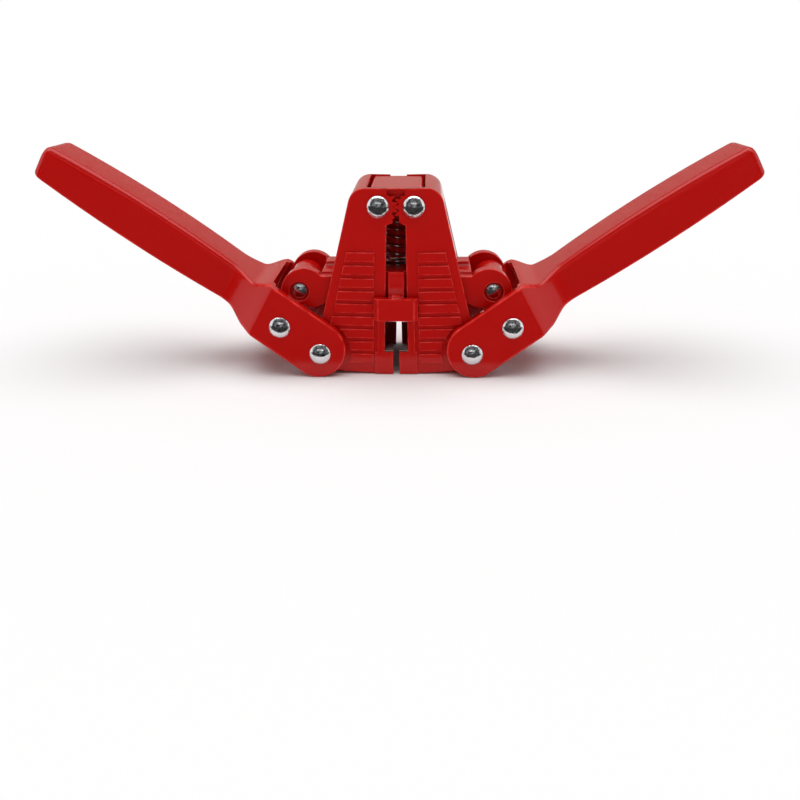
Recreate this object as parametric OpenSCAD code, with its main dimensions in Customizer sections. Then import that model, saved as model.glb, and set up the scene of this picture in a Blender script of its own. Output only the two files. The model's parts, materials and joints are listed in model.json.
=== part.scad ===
// Twin lever hand capper for crown caps, standing on the rounded ends of its handle forks.
// X runs from handle to handle, Y from front (negative) to back, Z up the bottle axis.
// Everything is drawn in the pose it has on a bottle neck: jaws just off closed, handles raised.

/* [Jaws] */
// Depth over the outer faces of the front and back plates of a jaw
jaw_depth = 54; // [50:0.5:60]
// Thickness of the front and back plates
plate_t = 3; // [2.5:0.1:3.5]
// Height of the flat top of the jaws
jaw_top = 89; // [86:0.5:94]
// Half width of the pair of jaws, where the leaning side would meet the top
shoulder_half = 20.6; // [19:0.2:23]
// Lean of the jaws' sides from upright
side_lean = 12.6; // [10:0.2:14]
// Radius of the top corners
corner_r = 8; // [5:0.5:9]
// Thickness of the leaning side wall and of the top wall
wall_t = 3; // [2:0.1:4]
// Lower edge of the side wall, above the carriage arms
wall_low = 54.6; // [54.2:0.2:60]
// Angle by which each jaw stands open on the bottle neck
grip_angle = 1.1; // [0.8:0.1:1.6]
// Half width of the slot between closed jaws
slot_half = 4.25; // [4.1:0.05:4.8]
// Top of the slot
slot_top = 72; // [71.5:0.1:72.6]
// Top of the lips that close the slot at the bottom
lip_top = 11.5; // [8:0.5:12]
// Width of the plain raised pad on each lip
lip_pad_w = 8.8; // [7:0.2:9.2]
// Gap between closed lips, for each jaw
lip_gap = 0.05; // [0.03:0.01:0.3]
// Height of the lips' lower edge over the ground
foot_z = 0.25; // [0.1:0.05:1]
// Upward slope of the lower edge, away from the lips
foot_slope = 2; // [0:0.2:3]
// Thickness of the floor that carries the neck plate
floor_t = 5; // [4:0.2:6]

/* [Grip ribs] */
// Rows of raised ribs on each plate
rib_rows = 9; // [6:1:9]
// Distance from row to row
rib_pitch = 6.16; // [6:0.02:6.2]
// Height of one rib
rib_h = 4.45; // [3.5:0.05:5]
// Upper edge of the top rib
rib_top = 59.5; // [59:0.1:62]
// Distance of the ribs' inner ends from the middle
rib_inner = 9.6; // [9.3:0.1:11]
// Margin between the ribs and the leaning edge
rib_margin = 4.4; // [3.5:0.1:6]
// How far ribs, rails and pads stand proud of a plate
pad_rise = 1; // [0.6:0.1:1.2]
// Width of the rails beside the slot
rail_w = 3.55; // [3:0.05:4]

/* [Jaw gears] */
// Half distance between the jaw pivots
jaw_pivot_half = 8.3; // [8:0.1:8.8]
// Height of the jaw pivots
jaw_pivot_z = 80.6; // [80:0.1:81]
// Teeth on a full turn of a jaw's gear
gear_teeth = 16; // [14:2:18]
// Play between the teeth
tooth_play = 0.2; // [0.15:0.01:0.3]

/* [Rivets] */
// Radius of the rivet shanks
rivet_r = 3; // [2.6:0.1:3.2]
// Radial running clearance of a rivet in its hole
pin_gap = 0.05; // [0.02:0.01:0.1]
// Radius of a domed rivet head
head_r = 5; // [4.5:0.1:5.4]
// Height of a domed rivet head
head_h = 2.6; // [2:0.1:3]
// Clearance between flat faces that slide past each other
side_gap = 0.3; // [0.2:0.05:0.4]

/* [Handles] */
// Rise of the handles from level
handle_rise = 29; // [27:0.5:31]
// Half distance between the handle pivots
handle_pivot_half = 36.35; // [36:0.05:37]
// Length from the pivot to the end of the grip
handle_len = 158; // [140:1:180]
// Half depth of the grip
grip_half = 15.5; // [13:0.5:17]
// Height of the grip at its thickest
grip_h = 20.3; // [18:0.1:22]
// How much slimmer the grip is at its end
grip_taper = 5; // [3:0.5:6]
// Rise of the grip's arched upper edge from the valley behind the fork to the end
grip_arch = 9.3; // [7:0.1:11]
// Radius along the grip's upper edges
grip_edge_r = 3.5; // [1.5:0.5:4.5]
// Radius round the fork's cheeks and along the handle's lower edges
cheek_edge_r = 1.2; // [0.8:0.1:2]
// Rounding of the grip's end
grip_end_r = 4; // [2:0.5:5]
// Thickness of the fork's cheeks
cheek_t = 4.7; // [4:0.1:6]
// Radius of the cheeks' round ends, which the tool stands on
lug_r = 13.4; // [13:0.05:13.6]
// Wall of the hollow handle
handle_wall = 3; // [2.4:0.2:3.6]
// Cross walls inside each grip
stiffeners = 5; // [3:1:7]

/* [Links] */
// Distance from the handle pivot to the link rivet, along the handle
link_u = 22.8; // [22.5:0.1:23]
// Height of the link rivet over the line of the handle pivot
link_v = 2.3; // [2:0.1:2.6]
// Half depth of a link
link_half = 13; // [11:0.5:14]
// Radius of a link's upper eye
eye_r = 8; // [7:0.1:8.2]
// Radius of a link's lower eye
foot_eye_r = 7.6; // [7.2:0.1:7.8]
// Play of the link rivet in the lower eye
link_play = 1.3; // [1.2:0.05:1.5]

/* [Carriage] */
// Distance of the ear rivets outwards from the handle pivots
ear_reach = 10.1; // [9.8:0.05:10.5]
// Height of the ear rivets
ear_z = 39.95; // [39.5:0.05:40.4]
// Radius of the ears' round outline
ear_r = 11.2; // [10.6:0.1:11.4]
// Thickness of one ear
ear_t = 6; // [5:0.2:6.5]
// Top of the carriage block
block_top = 50; // [49:0.2:50.6]
// Underside of the carriage block
block_low = 38; // [37:0.2:38.4]
// Half width of the carriage block
block_half = 20.5; // [20:0.1:22]
// Half width of the tongue that runs in the slot
tongue_half = 3.8; // [3.5:0.05:3.9]
// Half width of the cross tab in front of the rails
tab_half = 10.4; // [9.8:0.1:11]
// Height of the cross tab
tab_h = 10.8; // [10:0.2:12]
// Lower edge of the cross tab
tab_low = 27.7; // [27.2:0.1:28.5]
// Thickness of the cross tab
tab_t = 4; // [3:0.2:5]

/* [Bell] */
// Radius of the crimping throat
throat_r = 14.35; // [14.2:0.05:14.6]
// Length of the crimping throat
throat_len = 4; // [3:0.2:5]
// Radius of the mouth that guides an open cap
mouth_r = 16.6; // [16.4:0.1:17]
// Length of the mouth's cone, up to the throat
mouth_len = 5.5; // [5:0.1:6]
// Outer radius of the bell
bell_r = 18.5; // [18.2:0.1:18.8]
// Lower rim of the bell
bell_low = 25.5; // [25:0.1:26.5]
// Height of the bell
bell_h = 15.5; // [15:0.1:16]
// Radius of the cap magnet
magnet_r = 6; // [5:0.5:7]
// Thickness of the cap magnet
magnet_t = 2.5; // [2:0.1:3]

/* [Screws] */
// Radius of the screw shanks
screw_r = 2; // [1.5:0.1:2.2]
// Length of the bell screw under its head
bell_screw_len = 6; // [5:0.1:6.2]
// Radius of the bell screw's head
bell_screw_head_r = 3.8; // [3.2:0.1:4.2]
// Height of the bell screw's head
bell_screw_head_h = 2.6; // [2:0.1:3]
// Radius of the neck plate screws' heads
neck_screw_head_r = 3.6; // [3:0.1:4]
// Height of the neck plate screws' heads
neck_screw_head_h = 2.2; // [1.8:0.1:2.4]

/* [Neck plates] */
// Radius of the half collars that close on the bottle neck
neck_r = 13.25; // [13:0.05:13.6]
// Thickness of a neck plate
neck_plate_t = 3; // [2.5:0.1:3.2]
// Half gap between the two plates, beside the collar
neck_half_gap = 7.6; // [7:0.1:9]

/* [Spring] */
// Mean radius of the coil
coil_r = 6.6; // [6.2:0.1:6.8]
// Wire radius
wire_r = 0.75; // [0.6:0.05:0.8]
// Turns of the coil
coil_turns = 9.5; // [7:0.5:10]
// Depth of the spring's seat in the yoke
seat_depth = 1.2; // [1:0.1:1.4]

/* [Hidden] */
$fn = 48;

RED = [0.72, 0.06, 0.08];
CHROME = [0.82, 0.82, 0.84];
DARK_STEEL = [0.22, 0.22, 0.24];
BIG = 400;

// Depth layers, from the middle outwards
plate_out = jaw_depth / 2;
plate_in = plate_out - plate_t;
pad_face = plate_out + pad_rise;
cheek_in = pad_face + side_gap;
cheek_out = cheek_in + cheek_t;
inner_half = plate_in - 0.5;
ear_in = inner_half - ear_t;
hole_r = rivet_r + pin_gap;
screw_hole_r = screw_r + pin_gap;

// Handle frame: u runs along the handle from its pivot, v stands square to it
lug_u = 1.8;
lug_v = 0.96;
handle_pivot_z = lug_r - lug_u * sin(handle_rise) - lug_v * cos(handle_rise);
web_start = 35.4;
flare_start = 33;
flare_end = 56;
flare_power = 1.6;
crease = 0.1;
crest_u = 35;
valley_u = 44.5;
valley_v = 12.5;
heel_u = 38.5;
elbow_u = 51;
belly_u = 97;
cheek_top_v = 17.9;
cheek_low_v = -8.5;
edge_steps = 5;

// Places of the ear rivet and the link rivet in the row frame, for the right-hand side
ear_x = handle_pivot_half + ear_reach;
link_x = handle_pivot_half + link_u * cos(handle_rise) - link_v * sin(handle_rise);
link_z = handle_pivot_z + link_u * sin(handle_rise) + link_v * cos(handle_rise);
link_len = norm([link_x - ear_x, link_z - ear_z]);
link_lean = atan2(link_z - ear_z, link_x - ear_x);

// Stack under the carriage block
bell_top = bell_low + bell_h;
ceiling_z = bell_low + mouth_len + throat_len;
seat_web = 3.5;
screw_end_gap = 0.3;
spring_low = bell_top + seat_web;
pocket_r = coil_r + wire_r + 0.8;
yoke_low = jaw_pivot_z - 4.8;
yoke_drop = 0.4;
yoke_half = 12.7;
spring_top = yoke_low + seat_depth;
guide_r = coil_r - wire_r - 0.6;
guide_low = block_top + 2.5;
neck_plate_z = foot_z + 0.25 + floor_t;
floor_skin = 1.2;
neck_screw_len = neck_plate_t + floor_t - floor_skin - screw_end_gap;
neck_screw_x = 24.5;
neck_screw_y = 15;

// Draws a shape of the front view between two depths
module slab(y0, y1) {
    translate([0, y1, 0])
        rotate([90, 0, 0])
            linear_extrude(y1 - y0) children();
}

// Repeats what is drawn at the back on the front
module front_and_back() {
    children();
    mirror([0, 1, 0]) children();
}

// Closes a row of rings of points to a solid
module skin(rings) {
    count = len(rings[0]);
    last = len(rings) - 1;
    polyhedron([for (ring = rings) for (point = ring) point], concat(
        [[for (j = [0:count - 1]) j]],
        [for (i = [0:last - 1]) for (j = [0:count - 1])
            [i * count + j, (i + 1) * count + j,
                (i + 1) * count + (j + 1) % count, i * count + (j + 1) % count]],
        [[for (j = [count - 1:-1:0]) last * count + j]]));
}

// Turns right-hand work into left-hand work
module on_side(side) {
    mirror([side < 0 ? 1 : 0, 0, 0]) children();
}

// A cylinder along the depth, round a point of the front view
module cross_rod(x, z, r, y0, y1) {
    translate([x, y1, z]) rotate([90, 0, 0]) cylinder(r = r, h = y1 - y0);
}

// A rivet along the depth, with a dome at each end
module rivet(x, z, half, r_head, h_head) {
    dome_r = (r_head * r_head + h_head * h_head) / (2 * h_head);
    cross_rod(x, z, rivet_r, -half, half);
    front_and_back()
        translate([x, half, z])
            rotate([-90, 0, 0])
                intersection() {
                    translate([0, 0, h_head - dome_r]) sphere(r = dome_r, $fn = 64);
                    cylinder(r = r_head + 1, h = h_head + 1);
                }
}

// Opens a drawing of a closed right jaw to the angle it has on the neck
module open_to_grip() {
    translate([jaw_pivot_half, jaw_pivot_z])
        rotate(grip_angle)
            translate([-jaw_pivot_half, -jaw_pivot_z]) children();
}

// Leaning edge of the jaw at a height
function edge_x(z) = shoulder_half + (jaw_top - z) * tan(side_lean);
function foot_line(x) = foot_z + x * tan(foot_slope);

// Outside of the jaw, taken in by a wall thickness, with fine flats round the shoulder
module jaw_outline(inset, low) {
    flats = 16;
    r = corner_r - inset;
    corner_z = jaw_top - corner_r;
    corner_x = edge_x(corner_z) - corner_r / cos(side_lean);
    polygon(concat([[0, low], [edge_x(low) - inset / cos(side_lean), low]],
        [for (i = [0:flats]) let (a = side_lean + (90 - side_lean) * i / flats)
            [corner_x + r * cos(a), corner_z + r * sin(a)]],
        [[0, jaw_top - inset]]));
}

// Gear teeth of a jaw, towards the other jaw
module gear_teeth_profile(phase) {
    module_size = 2 * jaw_pivot_half / gear_teeth;
    half_tooth = (PI * module_size / 2 - tooth_play) / 2;
    root_r = jaw_pivot_half - 1.1 * module_size;
    tip_r = jaw_pivot_half + 0.85 * module_size;
    translate([jaw_pivot_half, jaw_pivot_z]) {
        circle(root_r);
        for (i = [-2:1])
            rotate(180 + (i + phase) * 360 / gear_teeth)
                polygon([[root_r - 1, -1.4 * half_tooth], [root_r, -1.4 * half_tooth],
                    [tip_r, -0.55 * half_tooth], [tip_r, 0.55 * half_tooth],
                    [root_r, 1.4 * half_tooth], [root_r - 1, 1.4 * half_tooth]]);
    }
}

// Front view of a jaw plate, closed
module plate_profile(phase) {
    notch_half = 4.3;
    notch_low = 85.8;
    throat_half = 1.35;
    throat_top = 77.3;
    throat_low = 73.3;
    low_x = 28;
    side_low = 9;
    difference() {
        union() {
            intersection() {
                jaw_outline(0, side_low);
                polygon([[notch_half, BIG], [notch_half, throat_top], [throat_half, throat_top],
                    [throat_half, throat_low], [slot_half, slot_top], [slot_half, lip_top - 1],
                    [BIG, lip_top - 1], [BIG, BIG]]);
            }
            polygon([[lip_gap, foot_line(0)], [low_x, foot_line(low_x)],
                [edge_x(side_low), side_low], [edge_x(lip_top), lip_top], [lip_gap, lip_top]]);
            gear_teeth_profile(phase);
        }
        translate([-BIG + notch_half, notch_low]) square(BIG);
    }
}

// Raised rib rows, rail and lip pad of a plate, closed
module pad_profile() {
    rail_top = 38;
    for (i = [0:rib_rows - 1]) {
        top = rib_top - i * rib_pitch;
        low = top - rib_h;
        polygon([[rib_inner, low], [rib_inner, top],
            [edge_x(top) - rib_margin, top], [edge_x(low) - rib_margin, low]]);
    }
    translate([slot_half, lip_top - 1]) square([rail_w, rail_top - lip_top + 1]);
    polygon([[lip_gap, foot_line(0)], [lip_pad_w, foot_line(lip_pad_w)],
        [lip_pad_w, lip_top], [lip_gap, lip_top]]);
}

// One jaw, right-hand: two plates, side wall, floor and pivot bosses
module jaw(phase) {
    boss_r = 10.4;
    pad_cut_r = 14.3;
    floor_in = 12;
    floor_out = 34;
    floor_cut_r = 18.5;
    wall_inner_x = yoke_half + 0.9;
    difference() {
        union() {
            front_and_back() {
                slab(plate_in, plate_out) {
                    open_to_grip() plate_profile(phase);
                    translate([handle_pivot_half, handle_pivot_z]) circle(boss_r);
                }
                slab(plate_out, pad_face) {
                    difference() {
                        open_to_grip() pad_profile();
                        translate([handle_pivot_half, handle_pivot_z]) circle(pad_cut_r);
                    }
                    translate([handle_pivot_half, handle_pivot_z]) circle(boss_r - 0.8);
                }
            }
            slab(-plate_in, plate_in)
                open_to_grip()
                    difference() {
                        jaw_outline(0, wall_low);
                        jaw_outline(wall_t, wall_low - 1);
                        square([wall_inner_x, BIG]);
                    }
            difference() {
                translate([floor_in, -plate_in, neck_plate_z - floor_t])
                    cube([floor_out - floor_in, 2 * plate_in, floor_t]);
                translate([0, 0, -1]) cylinder(r = floor_cut_r, h = BIG);
            }
        }
        cross_rod(jaw_pivot_half, jaw_pivot_z, hole_r, -BIG, BIG);
        cross_rod(handle_pivot_half, handle_pivot_z, hole_r, -BIG, BIG);
        neck_screw_places()
            translate([0, 0, neck_plate_z - floor_t + floor_skin]) cylinder(r = screw_hole_r, h = floor_t);
    }
}

module left_jaw() {
    color(RED) on_side(-1) jaw(0.5);
}

module right_jaw() {
    color(RED) on_side(1) jaw(0);
}

// The middle block: pivots of both jaws, the upper seat of the spring and its guide post
module yoke() {
    depth_half = plate_in - side_gap;
    top = jaw_top - yoke_drop;
    edge = 1.2;
    color(RED) {
        difference() {
            slab(-depth_half, depth_half)
                polygon([[-yoke_half, yoke_low + edge], [-yoke_half + edge, yoke_low],
                    [yoke_half - edge, yoke_low], [yoke_half, yoke_low + edge],
                    [yoke_half, top - edge], [yoke_half - edge, top],
                    [-yoke_half + edge, top], [-yoke_half, top - edge]]);
            translate([0, 0, yoke_low - 1]) cylinder(r = pocket_r, h = seat_depth + 1);
            for (side = [-1, 1])
                cross_rod(side * jaw_pivot_half, jaw_pivot_z, hole_r, -BIG, BIG);
        }
        translate([0, 0, guide_low]) cylinder(r = guide_r, h = spring_top + 0.5 - guide_low);
    }
}

module jaw_rivet(side) {
    color(CHROME) rivet(side * jaw_pivot_half, jaw_pivot_z, plate_out + side_gap, head_r, head_h);
}

module left_jaw_rivet() {
    jaw_rivet(-1);
}

module right_jaw_rivet() {
    jaw_rivet(1);
}

// Stands work of the handle frame on the right-hand handle pivot
module on_handle() {
    translate([handle_pivot_half, 0, handle_pivot_z])
        rotate([0, -handle_rise, 0]) children();
}

// Straight edges of the cheeks, and the arched edges of the grip, along the handle
function cheek_line(u, lug_edge, end_v) = lug_edge
    + (u - lug_u) * (end_v - lug_edge) / (flare_start - lug_u);
function cheek_top(u) = cheek_line(u, lug_v + lug_r, cheek_top_v);
function cheek_low(u) = cheek_line(u, lug_v - lug_r, cheek_low_v);
function grip_top(u) = valley_v + grip_arch * (1 - pow(1 - (u - valley_u) / (handle_len - valley_u), 2));
function grip_low(u) = grip_top(u) - grip_h
    + grip_taper * pow((u - belly_u) / (handle_len - belly_u), 2);

// Soft passage from one height to another between two places
function soft_step(u, u0, v0, u1, v1) = let (t = (u - u0) / (u1 - u0))
    v0 + (v1 - v0) * t * t * (3 - 2 * t);

// Upper edge, lower edge, half depth and upper edge radius of the whole handle
function top_edge(u) = u < crest_u ? cheek_top(u)
    : u < valley_u ? soft_step(u, crest_u, cheek_top(crest_u), valley_u, valley_v) : grip_top(u);
function low_edge(u) = u < heel_u ? cheek_low(u)
    : u < elbow_u ? soft_step(u, heel_u, cheek_low(heel_u), elbow_u, grip_low(elbow_u)) : grip_low(u);
function flare(u) = let (t = min(1, max(0, (u - flare_start) / (flare_end - flare_start))))
    t * t * (1 + crease) / (t + crease);
function half_depth(u) = grip_half + (cheek_out - grip_half) * pow(1 - flare(u), flare_power);
function edge_r(u) = cheek_edge_r + (grip_edge_r - cheek_edge_r) * flare(u);

// A quarter of a rounded section, and the whole section at one place, drawn in by two insets
function quarter(y, v, r, start) = [for (i = [0:edge_steps]) let (a = start + 90 * i / edge_steps)
    [y + r * cos(a), v + r * sin(a)]];
function section(u, place, inset, low_inset) = let (half = half_depth(u) - inset, top = top_edge(u) - inset,
        low = low_edge(u) + low_inset, r = edge_r(u), s = cheek_edge_r)
    [for (p = concat(quarter(half - r, top - r, r, 0), quarter(r - half, top - r, r, 90),
        quarter(s - half, low + s, s, 180), quarter(half - s, low + s, s, 270))) [place, p[0], p[1]]];

// Grip and flare, lofted through sections along the handle, with a plug that reaches into the cheeks
module grip_loft() {
    plug = 3;
    plug_inset = 0.8;
    flare_steps = 18;
    grip_steps = 9;
    end_steps = 5;
    end_u = handle_len - grip_end_r;
    skin(concat([section(flare_start, flare_start - plug, plug_inset, plug_inset)],
        [for (i = [0:flare_steps]) let (u = flare_start + (flare_end - flare_start) * i / flare_steps)
            section(u, u, 0, 0)],
        [for (i = [1:grip_steps]) let (u = flare_end + (end_u - flare_end) * i / grip_steps)
            section(u, u, 0, 0)],
        [for (i = [1:end_steps]) let (a = 90 * i / end_steps, u = end_u + grip_end_r * sin(a))
            section(u, u, grip_end_r * (1 - cos(a)), cheek_edge_r * (1 - cos(a)))]));
}

// A cheek's outline at one depth, drawn in by an inset: round lug, then straight edges to the flare
function cheek_outline(y, inset) = let (steps = 24) concat(
    [for (i = [0:steps]) let (a = 90 + 180 * i / steps)
        [lug_u + (lug_r - inset) * cos(a), y, lug_v + (lug_r - inset) * sin(a)]],
    [[flare_start, y, cheek_low_v + inset], [flare_start, y, cheek_top_v - inset]]);

// The back cheek, with a rounded outer rim; the fork's gap cuts its inner face
module cheek() {
    r = cheek_edge_r;
    gap_lap = 1;
    skin(concat([for (i = [0:edge_steps]) let (a = 90 * i / edge_steps)
        cheek_outline(cheek_out - r + r * cos(a), r - r * sin(a))], [cheek_outline(cheek_in - gap_lap, 0)]));
}

// Plan of the hollow: it narrows from the fork to the grip
module hollow_plan(fork_half, narrow_half) {
    lead = 3.5;
    start = flare_start - lead;
    end = flare_end - lead;
    polygon([[-BIG, -fork_half], [start, -fork_half], [end, -narrow_half], [BIG, -narrow_half],
        [BIG, narrow_half], [end, narrow_half], [start, fork_half], [-BIG, fork_half]]);
}

// The hollow under the grip, open below, with its cross walls left standing
module grip_hollow() {
    end_u = handle_len - handle_wall;
    skirt = 4;
    steps = 16;
    pitch = (handle_len - flare_end) / (stiffeners + 1);
    difference() {
        intersection() {
            slab(-cheek_in, cheek_in)
                polygon(concat([[end_u, -BIG], [web_start - 1, -BIG]],
                    [for (i = [0:steps])
                        let (u = web_start - 1 + (end_u - web_start + 1) * pow(i / steps, 2))
                            [u, top_edge(u) - handle_wall]]));
            translate([0, 0, -BIG / 2])
                linear_extrude(BIG) hollow_plan(cheek_in, grip_half - handle_wall);
        }
        for (i = [1:stiffeners])
            translate([flare_end + i * pitch - 1, -cheek_in, grip_low(flare_end + i * pitch) + skirt])
                cube([2, 2 * cheek_in, BIG]);
    }
}

// Plan of the gap between the cheeks, with round corners at the web
module fork_gap() {
    fork_end = flare_start + 0.6;
    notch_half = inner_half + 1.5;
    notch_r = 3;
    translate([-BIG + fork_end, -cheek_in]) square([BIG, 2 * cheek_in]);
    translate([-BIG + web_start - notch_r, -notch_half]) square([BIG, 2 * notch_half]);
    translate([-BIG + web_start, notch_r - notch_half]) square([BIG, 2 * (notch_half - notch_r)]);
    for (side = [-1, 1])
        translate([web_start - notch_r, side * (notch_half - notch_r)]) circle(notch_r);
}

// One handle, right-hand: grip, flare and fork, with sleeves round the link rivet
module handle() {
    sleeve_r = 5.5;
    sleeve_in = link_half + side_gap + 0.2;
    on_handle()
        difference() {
            union() {
                difference() {
                    union() {
                        front_and_back() cheek();
                        grip_loft();
                    }
                    grip_hollow();
                    translate([0, 0, -BIG / 2]) linear_extrude(BIG) fork_gap();
                }
                front_and_back()
                    cross_rod(link_u, link_v, sleeve_r, sleeve_in, cheek_in + 1);
            }
            cross_rod(0, 0, hole_r, -BIG, BIG);
            cross_rod(link_u, link_v, hole_r, -BIG, BIG);
        }
}

module left_handle() {
    color(RED) on_side(-1) handle();
}

module right_handle() {
    color(RED) on_side(1) handle();
}

module handle_rivet(side) {
    color(CHROME) rivet(side * handle_pivot_half, handle_pivot_z, cheek_out, head_r, head_h);
}

module left_handle_rivet() {
    handle_rivet(-1);
}

module right_handle_rivet() {
    handle_rivet(1);
}

module link_rivet(side) {
    color(CHROME) rivet(side * link_x, link_z, cheek_out, head_r, head_h);
}

module left_link_rivet() {
    link_rivet(-1);
}

module right_link_rivet() {
    link_rivet(1);
}

// One link, right-hand: two eyes and a waisted bar
module link() {
    bar_half = 4.6;
    translate([ear_x, 0, ear_z])
        rotate([0, -link_lean, 0])
            difference() {
                union() {
                    cross_rod(0, 0, eye_r, -link_half, link_half);
                    cross_rod(link_len, 0, foot_eye_r, -link_half, link_half);
                    translate([0, -link_half, -bar_half])
                        cube([link_len, 2 * link_half, 2 * bar_half]);
                }
                cross_rod(0, 0, hole_r, -BIG, BIG);
                cross_rod(link_len, 0, rivet_r + link_play, -BIG, BIG);
            }
}

module left_link() {
    color(RED) on_side(-1) link();
}

module right_link() {
    color(RED) on_side(1) link();
}

// Rivets of the ears are sunk in round recesses
ear_sink = 2.3;
ear_head_r = 4.25;
ear_head_h = 1.7;

module ear_rivet(side) {
    color(CHROME)
        rivet(side * ear_x, ear_z, inner_half - ear_sink + side_gap / 2, ear_head_r, ear_head_h);
}

module left_ear_rivet() {
    ear_rivet(-1);
}

module right_ear_rivet() {
    ear_rivet(1);
}

// Arm of the carriage, right-hand: a clevis of two ears on a stepped web
module carriage_arm() {
    arm_top = 48.5;
    arm_rib_top = 51;
    arm_rib_half = 5;
    web_end = ear_x - eye_r - 2.4;
    ear_top = 47.5;
    ear_cut_z = 36.5;
    ear_low_r = 7.2;
    ear_centre_x = ear_x - 2.55;
    plate_in_x = bell_r - 6;
    plate_low = block_low - 3.3;
    gusset_low = plate_low - 2.4;
    gusset_x = ear_centre_x - 5.5;
    translate([0, -ear_in, block_low])
        cube([web_end, 2 * ear_in, arm_top - block_low]);
    translate([0, -arm_rib_half, block_low])
        cube([web_end - 1, 2 * arm_rib_half, arm_rib_top - block_low]);
    front_and_back()
        slab(ear_in, inner_half) {
            polygon([[0, block_low], [plate_in_x, block_low], [plate_in_x, plate_low],
                [gusset_x - 5, plate_low], [gusset_x, gusset_low], [ear_centre_x, gusset_low],
                [ear_centre_x, ear_top], [0, ear_top]]);
            intersection() {
                translate([ear_centre_x, ear_z]) circle(ear_r);
                translate([0, ear_cut_z]) square(BIG);
            }
            translate([ear_x, ear_z]) circle(ear_low_r);
        }
}

// Tongue in the slot and cross tab that holds the jaw plates, at the back
module tongue_and_tab() {
    tongue_in = bell_r + 1;
    tab_in = pad_face + side_gap;
    neck_half = 1.9;
    edge = 1.8;
    tab_top = tab_low + tab_h;
    translate([-tongue_half, tongue_in, tab_low])
        cube([2 * tongue_half, plate_out - 0.7 - tongue_in, block_top - tab_low]);
    translate([-tongue_half, tongue_in, tab_low])
        cube([2 * tongue_half, tab_in + 1 - tongue_in, tab_h]);
    translate([0, 0, tab_low])
        linear_extrude(tab_h)
            polygon([[-tab_half, tab_in], [tab_half, tab_in], [tab_half, tab_in + tab_t - edge],
                [tab_half - edge, tab_in + tab_t], [-tab_half + edge, tab_in + tab_t],
                [-tab_half, tab_in + tab_t - edge]]);
    translate([-neck_half, tab_in, tab_top - 1]) cube([2 * neck_half, tab_t - 1, 2.5]);
}

// The sliding carriage: block, arms, tongues, bell seat and lower spring seat
module carriage() {
    bell_seat_gap = 0.1;
    color(RED)
        difference() {
            union() {
                translate([-block_half, -inner_half, block_low])
                    cube([2 * block_half, 2 * inner_half, block_top - block_low]);
                for (side = [-1, 1])
                    on_side(side) carriage_arm();
                front_and_back() tongue_and_tab();
            }
            translate([0, 0, block_low - 1])
                cylinder(r = bell_r + bell_seat_gap, h = bell_top - block_low + 1);
            translate([0, 0, spring_low]) cylinder(r = pocket_r, h = BIG);
            cylinder(r = screw_hole_r, h = BIG);
            for (side = [-1, 1]) {
                cross_rod(side * ear_x, ear_z, hole_r, -BIG, BIG);
                front_and_back()
                    cross_rod(side * ear_x, ear_z, ear_head_r + 0.35, inner_half - ear_sink, BIG);
            }
        }
}

// Crimping bell: guide mouth, straight throat, magnet pocket and screw hole
module bell() {
    throat_z = ceiling_z - throat_len;
    magnet_top = ceiling_z + magnet_t;
    screw_end = spring_low - bell_screw_len - screw_end_gap;
    rim = 0.8;
    color(DARK_STEEL)
        rotate_extrude()
            polygon([[mouth_r, bell_low], [bell_r - rim, bell_low], [bell_r, bell_low + rim],
                [bell_r, bell_top], [screw_hole_r, bell_top], [screw_hole_r, screw_end],
                [0, screw_end], [0, magnet_top], [magnet_r + pin_gap, magnet_top],
                [magnet_r + pin_gap, ceiling_z], [throat_r, ceiling_z], [throat_r, throat_z]]);
}

module bell_magnet() {
    color(CHROME) translate([0, 0, ceiling_z]) cylinder(r = magnet_r, h = magnet_t);
}

// Pan head screw with a straight slot
module pan_screw(length, head_radius, head_height) {
    slot_w = 1;
    translate([0, 0, -length]) cylinder(r = screw_r, h = length);
    difference() {
        intersection() {
            cylinder(r = head_radius, h = head_height);
            translate([0, 0, head_height - 2 * head_radius]) sphere(r = 2 * head_radius, $fn = 64);
        }
        translate([-BIG / 2, -slot_w / 2, head_height - 1]) cube([BIG, slot_w, BIG]);
    }
}

module bell_screw() {
    color(CHROME)
        translate([0, 0, spring_low])
            pan_screw(bell_screw_len, bell_screw_head_r, bell_screw_head_h);
}

// Helix swept with an eight-sided wire
module return_spring() {
    sides = 8;
    per_turn = 18;
    rings = floor(coil_turns * per_turn);
    end_gap = 0.02;
    low = spring_low + wire_r + end_gap;
    lift = spring_top - spring_low - 2 * (wire_r + end_gap);
    color(CHROME)
        skin([for (i = [0:rings]) let (a = 360 * i / per_turn)
            [for (j = [0:sides - 1]) let (b = 360 * j / sides, r = coil_r + wire_r * cos(b))
                [r * cos(a), r * sin(a), low + lift * i / rings + wire_r * sin(b)]]]);
}

// Places of the two screws of a right-hand neck plate
module neck_screw_places() {
    for (end = [-1, 1])
        translate([neck_screw_x, end * neck_screw_y, 0]) children();
}

// Half collar of sheet steel on the jaw's floor, right-hand
module neck_plate() {
    out_x = 31;
    depth_half = plate_in - side_gap;
    color(DARK_STEEL)
        difference() {
            translate([neck_half_gap, -depth_half, neck_plate_z])
                cube([out_x - neck_half_gap, 2 * depth_half, neck_plate_t]);
            cylinder(r = neck_r, h = BIG);
            neck_screw_places() cylinder(r = screw_hole_r, h = BIG);
        }
}

module left_neck_plate() {
    on_side(-1) neck_plate();
}

module right_neck_plate() {
    on_side(1) neck_plate();
}

module neck_plate_screws() {
    color(CHROME)
        neck_screw_places()
            translate([0, 0, neck_plate_z + neck_plate_t])
                pan_screw(neck_screw_len, neck_screw_head_r, neck_screw_head_h);
}

module left_neck_plate_screws() {
    on_side(-1) neck_plate_screws();
}

module right_neck_plate_screws() {
    on_side(1) neck_plate_screws();
}

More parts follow.
